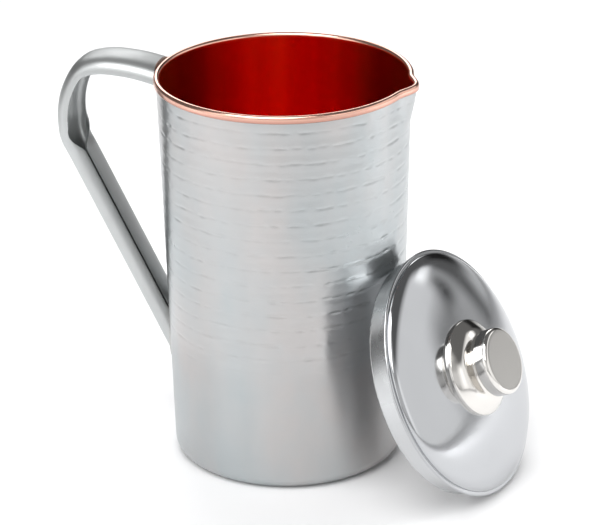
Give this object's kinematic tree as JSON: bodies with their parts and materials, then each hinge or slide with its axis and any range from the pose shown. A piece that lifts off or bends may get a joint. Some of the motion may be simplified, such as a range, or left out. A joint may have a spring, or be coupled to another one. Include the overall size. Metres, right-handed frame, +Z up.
{
  "type": "lidded water jug",
  "caption": "Tall tapered water jug with a copper inside, a hammered steel outside, a pouring lip, a folded sheet handle, and a loose lid leaning on it.",
  "frame": {"origin": "on the jug's axis, in the plane of the flat ring it stands on", "axes": "+Z up the jug's axis, +X towards the pouring lip, the handle towards -X, +Y to the left of the pouring lip"},
  "size_m": [0.2227, 0.1344, 0.1876],
  "materials": {
    "hammered_steel": "hammered and polished",
    "copper": "polished copper",
    "satin_steel": "satin",
    "weld_steel": "ground weld",
    "polished_steel": "mirror polished",
    "knob_steel": "mirror polished",
    "plain_steel": "plain"
  },
  "bodies": {
    "jug": {"outer_shell": "hammered_steel", "copper_liner": "copper", "handle": "satin_steel", "handle_rim_weld": "weld_steel", "handle_foot_weld": "weld_steel"},
    "lid": {"lid_cover": "polished_steel", "lid_skirt": "polished_steel", "knob_collar": "knob_steel", "knob_plate": "knob_steel", "knob_cap": "knob_steel", "knob_stud": "plain_steel", "knob_washer": "plain_steel", "knob_nut": "plain_steel"}
  },
  "joints": [
    {"name": "lid_lift", "type": "slide", "parent": "jug", "child": "lid", "axis": [0.8848, -0.1962, 0.4226], "range_m": [0, 0.16]}
  ]
}
